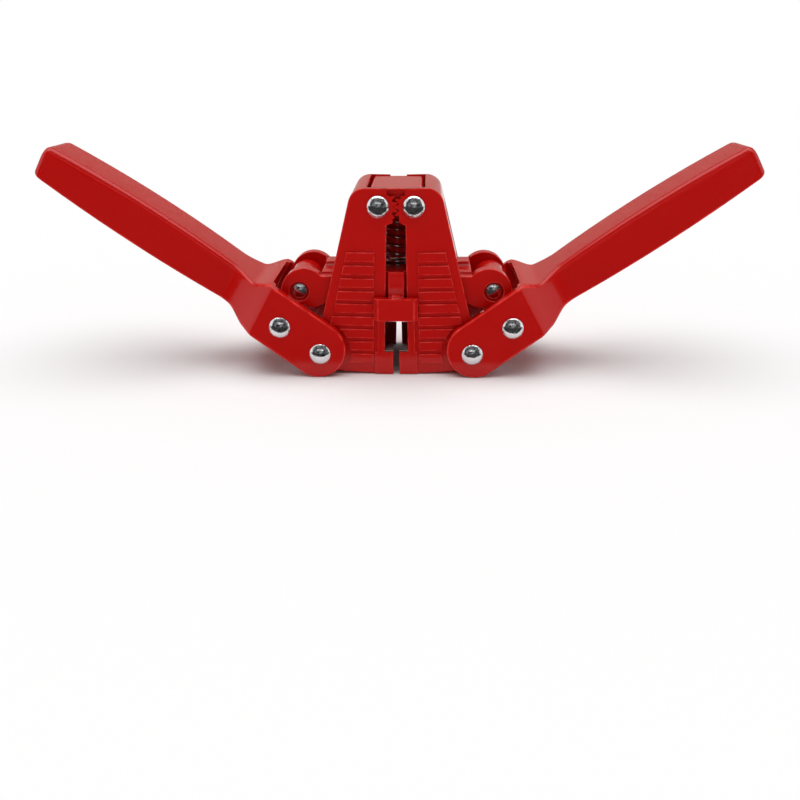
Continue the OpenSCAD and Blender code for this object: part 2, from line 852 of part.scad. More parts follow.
yoke();
left_jaw();
right_jaw();
left_jaw_rivet();
right_jaw_rivet();
left_handle();
right_handle();
left_handle_rivet();
right_handle_rivet();
left_link_rivet();
right_link_rivet();
left_link();
right_link();
left_ear_rivet();
right_ear_rivet();
carriage();
bell();
bell_magnet();
bell_screw();
return_spring();
left_neck_plate();
right_neck_plate();
left_neck_plate_screws();
right_neck_plate_screws();
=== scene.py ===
# %% [markdown]
# # A twin lever capper, dressed for its picture
# The tool presses crown caps on bottles. Two geared jaws of red moulded plastic close round a
# bottle neck, two long handles swing down, and links push a carriage with a steel bell over the
# cap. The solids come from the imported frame. They have the right sizes, but most of their edges are
# knife sharp and every surface is one flat colour. This lesson rounds the mouldings, turns the
# rivets, winds the spring and gives each surface a finish.

# %% Load the frame
import json
import math
import bmesh
import bpy
from mathutils import Euler, Matrix, Vector
from mathutils.bvhtree import BVHTree
from mathutils.geometry import intersect_point_line

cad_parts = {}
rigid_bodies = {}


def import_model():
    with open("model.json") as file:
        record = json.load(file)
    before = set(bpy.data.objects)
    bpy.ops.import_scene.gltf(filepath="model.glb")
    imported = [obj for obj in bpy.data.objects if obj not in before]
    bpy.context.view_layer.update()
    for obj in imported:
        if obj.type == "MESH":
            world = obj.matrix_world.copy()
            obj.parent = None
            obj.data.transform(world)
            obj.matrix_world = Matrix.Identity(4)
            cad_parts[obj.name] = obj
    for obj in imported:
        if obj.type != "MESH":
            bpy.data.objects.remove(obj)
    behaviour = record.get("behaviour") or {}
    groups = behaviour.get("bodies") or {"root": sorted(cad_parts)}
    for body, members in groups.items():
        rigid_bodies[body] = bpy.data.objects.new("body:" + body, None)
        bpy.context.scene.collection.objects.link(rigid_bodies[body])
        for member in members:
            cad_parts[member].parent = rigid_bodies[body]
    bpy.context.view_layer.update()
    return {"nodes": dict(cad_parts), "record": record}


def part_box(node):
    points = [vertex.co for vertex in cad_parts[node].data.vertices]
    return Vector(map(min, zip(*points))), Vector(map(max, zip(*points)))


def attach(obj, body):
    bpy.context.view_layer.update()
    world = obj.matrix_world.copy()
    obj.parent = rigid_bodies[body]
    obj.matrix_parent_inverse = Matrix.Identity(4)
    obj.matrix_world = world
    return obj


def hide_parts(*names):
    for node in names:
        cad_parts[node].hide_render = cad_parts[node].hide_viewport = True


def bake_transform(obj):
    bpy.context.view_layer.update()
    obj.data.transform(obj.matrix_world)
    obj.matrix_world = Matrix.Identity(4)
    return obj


for leftover in list(bpy.data.objects):
    bpy.data.objects.remove(leftover)
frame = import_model()
nodes = frame["nodes"]
MM = 0.001

# %% [markdown]
# ## The camera
# The picture was taken from a little above the tool and almost straight in front. Blender's camera
# could be pointed with a Track To constraint, but here the place and the three angles are known, so
# they are turned straight into a matrix: the camera's X axis is right, its Y axis is up, and it
# looks along minus Z. The lens follows from the focal length in pixels on a picture 800 pixels wide.

# %% Place the camera
PICTURE_WIDTH = 800
FOCAL_PIXELS = 960.88
SENSOR_WIDTH = 36
CLIP_NEAR, CLIP_FAR = 0.01, 50
CAMERA_PLACE = Vector((12.77, -471.0, 148.11)) * MM
PITCH, YAW, ROLL = (math.radians(a) for a in (20.0, 1.428, 0.153))

ahead = Vector((-math.sin(YAW) * math.cos(PITCH),
                math.cos(YAW) * math.cos(PITCH),
                -math.sin(PITCH)))
level_right = Vector((math.cos(YAW), math.sin(YAW), 0))
level_down = ahead.cross(level_right)
right = math.cos(ROLL) * level_right + math.sin(ROLL) * level_down
up = math.sin(ROLL) * level_right - math.cos(ROLL) * level_down

camera_data = bpy.data.cameras.new("photo_camera")
camera_data.sensor_width = SENSOR_WIDTH
camera_data.lens = FOCAL_PIXELS / PICTURE_WIDTH * SENSOR_WIDTH
camera_data.clip_start, camera_data.clip_end = CLIP_NEAR, CLIP_FAR
camera = bpy.data.objects.new("photo_camera", camera_data)
bpy.context.scene.collection.objects.link(camera)
facing = Matrix((right, up, -ahead)).transposed().to_4x4()
camera.matrix_world = Matrix.Translation(CAMERA_PLACE) @ facing
bpy.context.scene.camera = camera
print("lens in mm:", round(camera_data.lens, 2))

# %% [markdown]
# ## The white tent
# Product pictures like this one are taken in a white tent: light comes from every side, and the
# floor and the background run together. The world gives this even light. One strength for all rays
# would do, but a background that is white would then pour too much light on the tool. So Light Path
# tells the rays apart: what the camera, a mirror or glass sees of the tent is white, and the light
# that reaches the tool is dimmer. The colours are written for the Standard view transform, so that
# they come out as they are written.

# %% Hang the tent
TENT_LIGHT = 0.36
TENT_WHITE = 1.0
scene = bpy.context.scene
scene.view_settings.view_transform = "Standard"

world = bpy.data.worlds.new("white_tent")
scene.world = world
world.use_nodes = True
sky = world.node_tree
tent = sky.nodes["Background"]
tent.inputs["Color"].default_value = (1, 1, 1, 1)
path = sky.nodes.new("ShaderNodeLightPath")
seen = sky.nodes.new("ShaderNodeMath")
seen.operation = "MAXIMUM"
sky.links.new(path.outputs["Is Camera Ray"], seen.inputs[0])
sky.links.new(path.outputs["Is Transmission Ray"], seen.inputs[1])
seen_or_mirrored = sky.nodes.new("ShaderNodeMath")
seen_or_mirrored.operation = "MAXIMUM"
sky.links.new(seen.outputs[0], seen_or_mirrored.inputs[0])
sky.links.new(path.outputs["Is Glossy Ray"], seen_or_mirrored.inputs[1])
strength = sky.nodes.new("ShaderNodeMapRange")
strength.inputs["To Min"].default_value = TENT_LIGHT
strength.inputs["To Max"].default_value = TENT_WHITE
sky.links.new(seen_or_mirrored.outputs[0], strength.inputs["Value"])
sky.links.new(strength.outputs["Result"], tent.inputs["Strength"])
print("tent light:", TENT_LIGHT, "tent as seen:", TENT_WHITE)

# %% [markdown]
# ## Sheets and papers
# The floor and the photographer's cards are flat sheets of matt paper. Some papers are blotchy: they
# stand for the dim room round the tent, which shiny metal mirrors as patches of light and dark. A
# picture of a room could be used for that, but soft noise between two greys is enough here.

# %% Define sheets and papers
PAPER_ROUGHNESS = 0.9
BLOTCH_DETAIL = 4
BLOTCH_FROM, BLOTCH_TO = 0.42, 0.68


def flat_sheet(name, corners):
    """A flat sheet of one face, for the studio."""
    mesh = bpy.data.meshes.new(name)
    mesh.from_pydata(corners, [], [(0, 1, 2, 3)])
    sheet = bpy.data.objects.new(name, mesh)
    scene.collection.objects.link(sheet)
    return sheet


def level_sheet(name, half_width, front, back, height):
    """A sheet that lies level, from a front depth to a back depth."""
    return flat_sheet(name, [(-half_width, front, height), (half_width, front, height),
                             (half_width, back, height), (-half_width, back, height)])


def upright_sheet(name, half_width, depth, low, top):
    """A sheet that stands across the view at one depth."""
    return flat_sheet(name, [(-half_width, depth, low), (half_width, depth, low),
                             (half_width, depth, top), (-half_width, depth, top)])


def plain_paper(name, colour):
    """A matt studio paper."""
    paper = bpy.data.materials.new(name)
    paper.use_nodes = True
    shader = paper.node_tree.nodes["Principled BSDF"]
    shader.inputs["Base Color"].default_value = (*colour, 1)
    shader.inputs["Roughness"].default_value = PAPER_ROUGHNESS
    shader.inputs["Specular IOR Level"].default_value = 0.0
    return paper


def blotched_paper(name, scale, dim, bright, glow=0.0):
    """A matt paper with soft blotches between two greys, which may glow."""
    paper = plain_paper(name, (dim, dim, dim))
    tree = paper.node_tree
    place = tree.nodes.new("ShaderNodeTexCoord")
    noise = tree.nodes.new("ShaderNodeTexNoise")
    noise.inputs["Scale"].default_value = scale
    noise.inputs["Detail"].default_value = BLOTCH_DETAIL
    grey = tree.nodes.new("ShaderNodeMapRange")
    grey.inputs["From Min"].default_value = BLOTCH_FROM
    grey.inputs["From Max"].default_value = BLOTCH_TO
    grey.inputs["To Min"].default_value = dim
    grey.inputs["To Max"].default_value = bright
    tree.links.new(place.outputs["Object"], noise.inputs["Vector"])
    tree.links.new(noise.outputs["Fac"], grey.inputs["Value"])
    shader = tree.nodes["Principled BSDF"]
    shader.inputs["Emission Strength"].default_value = glow
    tree.links.new(grey.outputs["Result"], shader.inputs["Base Color"])
    tree.links.new(grey.outputs["Result"], shader.inputs["Emission Color"])
    return paper


print("paper roughness:", PAPER_ROUGHNESS)

# %% [markdown]
# ## The floor, the cards and the sun
# A white floor keeps the tool's shadow. One dark card lies in front of the tool and one stands behind
# the camera: the glossy front faces mirror them and stay a deep red, where the bare tent would make
# them hazy. A whitish, patchy card glows, though it is no lamp: it paints glints on the spring deep
# in its slot and specks on the rivets, a painted highlight seen only in reflections. A warm card at
# the back tones down the sheen on the tops. Only mirrored rays meet the cards: the camera does not
# see them, and they do not shade the tool or light it, except for those painted glints. A broad sun
# overhead lifts the tops and gives the floor its shadow.

# %% Lay the floor, set up the cards and add the sun
REACH = 8.0
ROOM_DEPTH = -0.9
SUN_ENERGY = 2.07
SUN_ANGLE = math.radians(70)

floor = level_sheet("floor", half_width=REACH, front=-REACH, back=REACH, height=0)
floor.data.materials.append(plain_paper("floor_paper", (0.98, 0.98, 0.98)))

lying = level_sheet("lying_card", half_width=1.5, front=ROOM_DEPTH, back=-0.055, height=0.0005)
lying.data.materials.append(blotched_paper("lying_paper", scale=30, dim=0.01, bright=0.11))
standing = upright_sheet("standing_card", half_width=2.5, depth=ROOM_DEPTH, low=0, top=3.4)
standing.data.materials.append(blotched_paper("standing_paper", scale=4, dim=0.0, bright=0.45))
# This card glows with strength 2.0, though it is no lamp: seen only in reflections, it paints glints
# on the spring and specks on the rivets.
glint_card = upright_sheet("glowing_glint_card", half_width=0.42, depth=-0.88, low=0.42, top=0.62)
glint_card.data.materials.append(blotched_paper("glowing_glint_paper", scale=9, dim=0.1, bright=0.9, glow=2.0))
back = upright_sheet("back_card", half_width=3.0, depth=1.2, low=0, top=1.8)
back.data.materials.append(plain_paper("back_paper", (0.66, 0.47, 0.43)))
for card in (lying, standing, glint_card, back):
    card.visible_camera = False
    card.visible_diffuse = False
    card.visible_transmission = False
    card.visible_shadow = False

sun_data = bpy.data.lights.new("broad_sun", "SUN")
sun_data.energy = SUN_ENERGY
sun_data.angle = SUN_ANGLE
sun = bpy.data.objects.new("broad_sun", sun_data)
scene.collection.objects.link(sun)

# %% [markdown]
# ## Shared shader effects
# Three effects come back in several finishes, so each is a node group with named sockets. Mottle is
# a slow drift of a value over the surface: it keeps a colour or a gloss from looking printed on.
# Grain is the fine tooth that a mould or a die leaves. Edge wear and highlight lightens the rounded
# edges: partly wear, where hands and neighbours polish an edge, and partly a painted highlight, the
# thin bright line that light draws along an edge. The rounded edges made below carry a face
# attribute, and noise breaks it up. A group hands out values only, and the shader itself stays in
# each material.

# %% Define the helpers for shader groups
NOISE_MIDDLE = 0.5


def shader_group(name, inputs, outputs):
    """A shader group with named float sockets, and its two end nodes."""
    group = bpy.data.node_groups.new(name, "ShaderNodeTree")
    for label, value in inputs:
        socket = group.interface.new_socket(label, in_out="INPUT", socket_type="NodeSocketFloat")
        socket.default_value = value
    for label in outputs:
        group.interface.new_socket(label, in_out="OUTPUT", socket_type="NodeSocketFloat")
    return group, group.nodes.new("NodeGroupInput"), group.nodes.new("NodeGroupOutput")


def noise_on_object(group, detail):
    """A noise texture that reads object coordinates."""
    place = group.nodes.new("ShaderNodeTexCoord")
    noise = group.nodes.new("ShaderNodeTexNoise")
    noise.inputs["Detail"].default_value = detail
    group.links.new(place.outputs["Object"], noise.inputs["Vector"])
    return noise


def centred(group, value, amount):
    """Spreads a 0 to 1 value evenly about zero, times an amount."""
    shift = group.nodes.new("ShaderNodeMath")
    shift.operation = "SUBTRACT"
    shift.inputs[1].default_value = NOISE_MIDDLE
    times = group.nodes.new("ShaderNodeMath")
    times.operation = "MULTIPLY"
    group.links.new(value, shift.inputs[0])
    group.links.new(shift.outputs[0], times.inputs[0])
    group.links.new(amount, times.inputs[1])
    return times.outputs[0]


print("noise spreads about:", NOISE_MIDDLE)

# %% Build the shader groups
WEAR_AND_HIGHLIGHT_FROM, WEAR_AND_HIGHLIGHT_TO = 0.35, 0.7

mottle, start, end = shader_group(
    "mottle", [("Scale", 60), ("Middle", 0.5), ("Spread", 0.1)], ["Value"])
noise = noise_on_object(mottle, detail=3)
mottle.links.new(start.outputs["Scale"], noise.inputs["Scale"])
total = mottle.nodes.new("ShaderNodeMath")
mottle.links.new(start.outputs["Middle"], total.inputs[0])
mottle.links.new(centred(mottle, noise.outputs["Fac"], start.outputs["Spread"]), total.inputs[1])
mottle.links.new(total.outputs[0], end.inputs["Value"])

grain, start, end = shader_group(
    "grain", [("Scale", 900), ("Fine scale", 3000), ("Fine share", 0.4)], ["Height"])
coarse = noise_on_object(grain, detail=2)
fine = noise_on_object(grain, detail=1)
grain.links.new(start.outputs["Scale"], coarse.inputs["Scale"])
grain.links.new(start.outputs["Fine scale"], fine.inputs["Scale"])
both = grain.nodes.new("ShaderNodeMath")
both.operation = "MULTIPLY_ADD"
grain.links.new(fine.outputs["Fac"], both.inputs[0])
grain.links.new(start.outputs["Fine share"], both.inputs[1])
grain.links.new(coarse.outputs["Fac"], both.inputs[2])
grain.links.new(both.outputs[0], end.inputs["Height"])

# This mask lightens the marked edges: partly edge wear, partly a painted highlight.
edge_wear_and_highlight, start, end = shader_group("edge_wear_and_highlight", [("Scale", 220), ("Amount", 0.5)], ["Mask"])
edge = edge_wear_and_highlight.nodes.new("ShaderNodeAttribute")
edge.attribute_name = "edge_wear_and_highlight"
patch = noise_on_object(edge_wear_and_highlight, detail=4)
edge_wear_and_highlight.links.new(start.outputs["Scale"], patch.inputs["Scale"])
broken = edge_wear_and_highlight.nodes.new("ShaderNodeMapRange")
broken.inputs["From Min"].default_value = WEAR_AND_HIGHLIGHT_FROM
broken.inputs["From Max"].default_value = WEAR_AND_HIGHLIGHT_TO
edge_wear_and_highlight.links.new(patch.outputs["Fac"], broken.inputs["Value"])
on_edge = edge_wear_and_highlight.nodes.new("ShaderNodeMath")
on_edge.operation = "MULTIPLY"
edge_wear_and_highlight.links.new(edge.outputs["Fac"], on_edge.inputs[0])
edge_wear_and_highlight.links.new(broken.outputs["Result"], on_edge.inputs[1])
scaled = edge_wear_and_highlight.nodes.new("ShaderNodeMath")
scaled.operation = "MULTIPLY"
edge_wear_and_highlight.links.new(on_edge.outputs[0], scaled.inputs[0])
edge_wear_and_highlight.links.new(start.outputs["Amount"], scaled.inputs[1])
edge_wear_and_highlight.links.new(scaled.outputs[0], end.inputs["Mask"])
print("shader groups:", [g.name for g in bpy.data.node_groups])

# %% [markdown]
# ## Finishes
# Each finish is one function call: a base colour and the colour that it drifts to, a roughness that
# drifts too, a grain for the bump, and a lighter colour for the rounded edges, which is partly edge
# wear and partly a painted highlight. The plastic is a glossy red.
# The rivets are nickel plated and shiny, with the slight dents of the press. The bell and the neck
# plates are a near-black steel, a painted shade that keeps the inside of the window under the
# carriage dark, and the screws are zinc plated.

# %% Define a finish
TINT_SCALE, TINT_MIDDLE, TINT_SPREAD = 70, 0.5, 1.2
SHEEN_SCALE = 130
WEAR_AND_HIGHLIGHT_SCALE = 220
FINE_SHARE = 0.4
GRAIN_DEPTH = 0.1 * MM


def use_group(tree, group, **values):
    """Places a shader group and sets its inputs by name."""
    node = tree.nodes.new("ShaderNodeGroup")
    node.node_tree = group
    for label, value in values.items():
        node.inputs[label.replace("_", " ")].default_value = value
    return node


def finish_of(name, colour, drift, wear_and_highlight_colour, metallic, specular, gloss, grains, wear_and_highlight):
    """A procedural finish.

    gloss is (middle, spread), grains is (scale, fine scale, bump), and the last argument is the
    amount of the lighter edge colour, partly edge wear and partly a painted highlight."""
    material = bpy.data.materials.new(name)
    material.use_nodes = True
    tree = material.node_tree
    shader = tree.nodes["Principled BSDF"]
    shader.inputs["Metallic"].default_value = metallic
    shader.inputs["Specular IOR Level"].default_value = specular

    shade = use_group(tree, mottle, Scale=TINT_SCALE, Middle=TINT_MIDDLE, Spread=TINT_SPREAD)
    tint = tree.nodes.new("ShaderNodeMix")
    tint.data_type = "RGBA"
    tint.inputs["A"].default_value = (*colour, 1)
    tint.inputs["B"].default_value = (*drift, 1)
    tree.links.new(shade.outputs["Value"], tint.inputs["Factor"])
    # Marked edges mix to a lighter colour: partly edge wear, partly a painted highlight.
    worn_and_lit = tree.nodes.new("ShaderNodeMix")
    worn_and_lit.data_type = "RGBA"
    worn_and_lit.inputs["B"].default_value = (*wear_and_highlight_colour, 1)
    mask = use_group(tree, edge_wear_and_highlight, Scale=WEAR_AND_HIGHLIGHT_SCALE, Amount=wear_and_highlight)
    tree.links.new(mask.outputs["Mask"], worn_and_lit.inputs["Factor"])
    tree.links.new(tint.outputs["Result"], worn_and_lit.inputs["A"])
    tree.links.new(worn_and_lit.outputs["Result"], shader.inputs["Base Color"])

    sheen = use_group(tree, mottle, Scale=SHEEN_SCALE, Middle=gloss[0], Spread=gloss[1])
    tree.links.new(sheen.outputs["Value"], shader.inputs["Roughness"])

    tooth = use_group(tree, grain, Scale=grains[0], Fine_scale=grains[1], Fine_share=FINE_SHARE)
    bump = tree.nodes.new("ShaderNodeBump")
    bump.inputs["Strength"].default_value = grains[2]
    bump.inputs["Distance"].default_value = GRAIN_DEPTH
    tree.links.new(tooth.outputs["Height"], bump.inputs["Height"])
    tree.links.new(bump.outputs["Normal"], shader.inputs["Normal"])
    return material


print("grain depth in mm:", round(GRAIN_DEPTH / MM, 2))

# %% Mix the finishes
# The red plastic's edge colour is far lighter than its base: partly a painted highlight along its
# rounded edges, partly edge wear.
red_plastic = finish_of(
    "red_plastic", colour=(0.56, 0.0038, 0.0022), drift=(0.53, 0.0032, 0.0018),
    wear_and_highlight_colour=(0.92, 0.055, 0.042), metallic=0.0, specular=0.30,
    gloss=(0.15, 0.05), grains=(700, 2600, 0.08), wear_and_highlight=0.8)
rivet_nickel = finish_of(
    "rivet_nickel", colour=(0.80, 0.80, 0.82), drift=(0.70, 0.70, 0.72),
    wear_and_highlight_colour=(0.86, 0.86, 0.87), metallic=1.0, specular=0.5,
    gloss=(0.08, 0.05), grains=(620, 2000, 1.0), wear_and_highlight=0.3)
spring_steel = finish_of(
    "spring_steel", colour=(0.80, 0.80, 0.81), drift=(0.66, 0.66, 0.67),
    wear_and_highlight_colour=(0.9, 0.9, 0.9), metallic=1.0, specular=0.5,
    gloss=(0.22, 0.08), grains=(1500, 4000, 0.10), wear_and_highlight=0.2)
# Near-black steel for the bell and the neck plates: painted shade, which keeps the inside of the
# window under the carriage dark.
painted_shade_steel = finish_of(
    "painted_shade_steel", colour=(0.030, 0.030, 0.033), drift=(0.045, 0.043, 0.042),
    wear_and_highlight_colour=(0.20, 0.20, 0.21), metallic=0.75, specular=0.5,
    gloss=(0.42, 0.16), grains=(800, 3000, 0.15), wear_and_highlight=0.6)
zinc_screw = finish_of(
    "zinc_screw", colour=(0.55, 0.56, 0.58), drift=(0.62, 0.62, 0.60),
    wear_and_highlight_colour=(0.72, 0.72, 0.74), metallic=1.0, specular=0.5,
    gloss=(0.26, 0.12), grains=(1200, 3500, 0.20), wear_and_highlight=0.4)
magnet_nickel = finish_of(
    "magnet_nickel", colour=(0.60, 0.60, 0.61), drift=(0.52, 0.52, 0.53),
    wear_and_highlight_colour=(0.70, 0.70, 0.70), metallic=1.0, specular=0.5,
    gloss=(0.20, 0.08), grains=(1000, 3000, 0.10), wear_and_highlight=0.3)
print("finishes:", [m.name for m in bpy.data.materials])

# %% [markdown]
# ## Room for a radius
# A moulded or machined piece has no sharp edges: the mould has small radii, and they catch the light
# as thin bright lines. Blender's Bevel modifier makes them, and a bevel weight on each edge says how
# wide. One width for all would be simpler, but short neighbours leave less room, as on the gear
# teeth. So each edge gets what its neighbours leave, and a smooth run of edges shares one width.

# %% Define the bevel weights
SHARP_ANGLE = math.radians(32)
STRAIGHT_ON = 0.9
SMOOTH_TURN = 0.8
SHARE_OF_SIDE = 0.42
WIDTHS_AHEAD = 3


def run_length(edge, vert, enough):
    """Length of an edge with the edges that carry it on nearly straight, away from vert."""
    length = edge.calc_length()
    far = edge.other_vert(vert)
    while length < enough:
        heading = (far.co - edge.other_vert(far).co).normalized()
        onward = [e for e in far.link_edges if e is not edge
                  and (e.other_vert(far).co - far.co).normalized().dot(heading) > STRAIGHT_ON]
        if not onward:
            break
        edge = onward[0]
        far = edge.other_vert(far)
        length += edge.calc_length()
    return length


def room_for_bevel(edge, wanted):
    """The largest bevel up to wanted that the edge's neighbours leave room for."""
    room = wanted
    for vert in edge.verts:
        along = (edge.other_vert(vert).co - vert.co).normalized()
        for face in edge.link_faces:
            for side in face.edges:
                if side is edge or vert not in side.verts:
                    continue
                across = (side.other_vert(vert).co - vert.co).normalized()
                if abs(across.dot(along)) < STRAIGHT_ON:
                    length = run_length(side, vert, WIDTHS_AHEAD * wanted)
                    room = min(room, SHARE_OF_SIDE * length)
    return room


def even_weights(edges, wanted):
    """Bevel weights that stay the same along each smooth run, so that no corner shoots out."""
    room = {edge: room_for_bevel(edge, wanted) for edge in edges}
    weights, done = {}, set()
    for first in edges:
        if first in done:
            continue
        run, ends = [], [first]
        done.add(first)
        while ends:
            edge = ends.pop()
            run.append(edge)
            for vert in edge.verts:
                heading = (vert.co - edge.other_vert(vert).co).normalized()
                for other in vert.link_edges:
                    onward = (other.other_vert(vert).co - vert.co).normalized()
                    if other in room and other not in done and onward.dot(heading) > SMOOTH_TURN:
                        done.add(other)
                        ends.append(other)
        least = min(room[edge] for edge in run)
        weights.update({edge: least / wanted for edge in run})
    return weights


print("edges count as sharp from", round(math.degrees(SHARP_ANGLE)), "degrees")

# %% [markdown]
# ## A clean copy, and what went astray
# A bevel on the raw solid would trip over its triangles. So a copy is merged and its flat areas are
# dissolved into whole faces first. Weighted normals keep the large faces flat. Crowded corners can
# still throw a face out, so each result is held against the solid's own skin: a triangle that has
# left it or turned over is a stray.

# %% Define the clean copy and the test for strays
FLAT_ANGLE = math.radians(0.6)
MERGE_DISTANCE = 0.02 * MM
STRAY_AREA = 0.001 * MM * MM
STRAY_SHARE = 0.5
TURNED_OVER = -0.1


def clean_copy(node):
    """A copy of a CAD node's mesh, merged, with its flat areas dissolved into whole faces."""
    bm = bmesh.new()
    bm.from_mesh(nodes[node].data)
    bmesh.ops.remove_doubles(bm, verts=bm.verts, dist=MERGE_DISTANCE)
    bmesh.ops.dissolve_limit(bm, angle_limit=FLAT_ANGLE, verts=bm.verts, edges=bm.edges)
    bmesh.ops.recalc_face_normals(bm, faces=bm.faces)
    return bm


def evaluated_copy(name, mesh, width, segments):
    """Runs the bevel and the weighted normals on a mesh, and returns the plain result."""
    work = bpy.data.objects.new(name + "_work", mesh)
    scene.collection.objects.link(work)
    if width:
        bevel = work.modifiers.new("round", "BEVEL")
        bevel.width = width
        bevel.segments = segments
        bevel.limit_method = "WEIGHT"
        bevel.use_clamp_overlap = False
        bevel.material = 1
    even = work.modifiers.new("even", "WEIGHTED_NORMAL")
    even.keep_sharp = True
    evaluated = work.evaluated_get(bpy.context.evaluated_depsgraph_get())
    result = bpy.data.meshes.new_from_object(evaluated)
    work.modifiers.clear()
    bpy.data.objects.remove(work)
    return result


def strays(mesh, skin, width):
    """Corners of the triangles that have left the solid's skin or turned over."""
    mesh.calc_loop_triangles()
    corners = []
    for triangle in mesh.loop_triangles:
        if triangle.area < STRAY_AREA:
            continue
        points = [mesh.vertices[i].co for i in triangle.vertices]
        _, normal, _, distance = skin.find_nearest(sum(points, Vector()) / 3)
        if distance > STRAY_SHARE * width or normal.dot(triangle.normal) < TURNED_OVER:
            corners += [point.copy() for point in points]
    return corners


def near_segment(edge, point, reach):
    """Whether a point lies within reach of an edge."""
    foot, share = intersect_point_line(point, edge.verts[0].co, edge.verts[1].co)
    if not 0 <= share <= 1:
        foot = edge.verts[0].co if share < 0 else edge.verts[1].co
    return (foot - point).length < reach


print("merged within", MERGE_DISTANCE / MM, "mm")

# %% [markdown]
# ## Rounding and smoothing
# A piece is rounded on the edges that are chosen for it. Where strays turn up, the edges near them
# stay sharp and the bevel is made again, with a wider reach each time. The Bevel modifier marks its
# new faces with a second material slot, and that mark becomes the attribute that lightens the edges
# in the finish: partly edge wear and partly a painted highlight. A piece whose solid has its radii
# already is only smoothed, and its narrow rim faces get the mark.

# %% Define which edges are rounded
SHORT_FLAT = 0.45 * MM
JAW_FACE = 26.9 * MM
TEETH_HALF_WIDTH = 12.5 * MM
TEETH_LOW = 75 * MM


def any_edge(edge):
    """Lets every sharp edge be rounded."""
    return True


def long_edge(edge):
    """Whether an edge stands out and is longer than the flats of a round."""
    return edge.is_convex and edge.calc_length() > SHORT_FLAT


def shown_edge(edge):
    """Whether a jaw's edge stands out in its front or back, away from teeth and bores."""
    a, b = (vert.co for vert in edge.verts)
    on_face = min(abs(a.y), abs(b.y)) > JAW_FACE
    teeth = max(abs(a.x), abs(b.x)) < TEETH_HALF_WIDTH and max(a.z, b.z) > TEETH_LOW
    bores = edge.calc_length() < SHORT_FLAT
    return on_face and edge.is_convex and not teeth and not bores


print("flats of a round are shorter than", SHORT_FLAT / MM, "mm")

# %% Define rounding and smoothing
MOST_TRIES = 5
CLEAR_SHARE = 0.6
RIM_SIDE = 0.5 * MM
RIM_TILT_FROM, RIM_TILT_TO = 0.2, 0.97


def mark_edges(mesh, marks):
    """Writes the face attribute that marks the lightened edges, partly wear and partly a painted
    highlight.
    """
    wear_and_highlight = mesh.attributes.new("edge_wear_and_highlight", "FLOAT", "FACE")
    wear_and_highlight.data.foreach_set("value", marks)


def rounded(node, width, segments, chosen):
    """A copy of a CAD node's mesh with its chosen sharp edges rounded, as a plain mesh."""
    bm = clean_copy(node)
    layer = bm.edges.layers.float.new("bevel_weight_edge")
    sharp = [e for e in bm.edges
             if e.is_manifold and e.calc_face_angle(0) > SHARP_ANGLE and chosen(e)]
    for edge, weight in even_weights(sharp, width).items():
        edge[layer] = weight
    skin = BVHTree.FromBMesh(bm)
    mesh = bpy.data.meshes.new(node + "_raw")
    mesh.materials.append(None)
    mesh.materials.append(None)
    left_sharp = set()
    for attempt in range(MOST_TRIES):
        bm.to_mesh(mesh)
        mesh.shade_smooth()
        result = evaluated_copy(node, mesh, width, segments)
        corners = strays(result, skin, width)
        if not corners:
            break
        reach = CLEAR_SHARE * width * (attempt + 1)
        for edge in sharp:
            if edge[layer] and any(near_segment(edge, corner, reach) for corner in corners):
                edge[layer] = 0
                left_sharp.add(edge.index)
    bm.free()
    # The bevel's new faces get the mark that lightens them: partly edge wear, partly a painted
    # highlight.
    mark_edges(result, [1.0 if p.material_index == 1 else 0.0 for p in result.polygons])
    result.polygons.foreach_set("material_index", [0] * len(result.polygons))
    result.materials.clear()
    print(node, "sharp edges:", len(sharp), "left sharp:", len(left_sharp), "tries:", attempt + 1,
          "strays:", len(corners) // 3, "faces:", len(result.polygons))
    return result


def smoothed(node):
    """A merged copy of a CAD node's mesh, shaded smoothly across its fine facets."""
    bm = clean_copy(node)
    mesh = bpy.data.meshes.new(node + "_raw")
    bm.to_mesh(mesh)
    bm.free()
    mesh.materials.clear()
    mesh.shade_smooth()
    mesh.set_sharp_from_angle(angle=SHARP_ANGLE)
    result = evaluated_copy(node, mesh, 0, 0)
    # Narrow faces on the rounded rims get the mark that lightens them: partly edge wear, partly a
    # painted highlight.
    marks = []
    for face in result.polygons:
        sides = [(result.vertices[a].co - result.vertices[b].co).length for a, b in face.edge_keys]
        on_rim = min(sides) < RIM_SIDE and RIM_TILT_FROM < abs(face.normal.y) < RIM_TILT_TO
        marks.append(1.0 if on_rim else 0.0)
    mark_edges(result, marks)
    print(node, "faces:", len(result.polygons), "faces on rounded edges:", int(sum(marks)))
    return result


def put(name, mesh, body, replaced):
    """Makes a finished mesh a piece that rides on a body and stands for its nodes."""
    piece = bpy.data.objects.new(name, mesh)
    scene.collection.objects.link(piece)
    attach(piece, body)
    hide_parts(*replaced)
    return piece


body_of_node = {node: body for body, members in frame["record"]["behaviour"]["bodies"].items()
                for node in members}
print("nodes on bodies:", len(body_of_node))

# %% [markdown]
# ## The red mouldings
# The yoke on top, the two jaws with their ribs, the two handles, the links and the carriage are all
# injection moulded in the same red. Most only need their edges rounded and the plastic put on. The
# handles are rounded already in the solids, by a skin through many sections, so they are only shaded
# smoothly: a second rounding would crease them.

# %% Round the red mouldings
MOULDING_SEGMENTS = 3
ROUNDED_MOULDINGS = {
    "yoke": (0.5, any_edge), "left_link": (0.5, any_edge), "right_link": (0.5, any_edge),
    "carriage": (0.45, long_edge), "left_jaw": (0.5, shown_edge), "right_jaw": (0.5, shown_edge)}
SMOOTHED_MOULDINGS = ("left_handle", "right_handle")

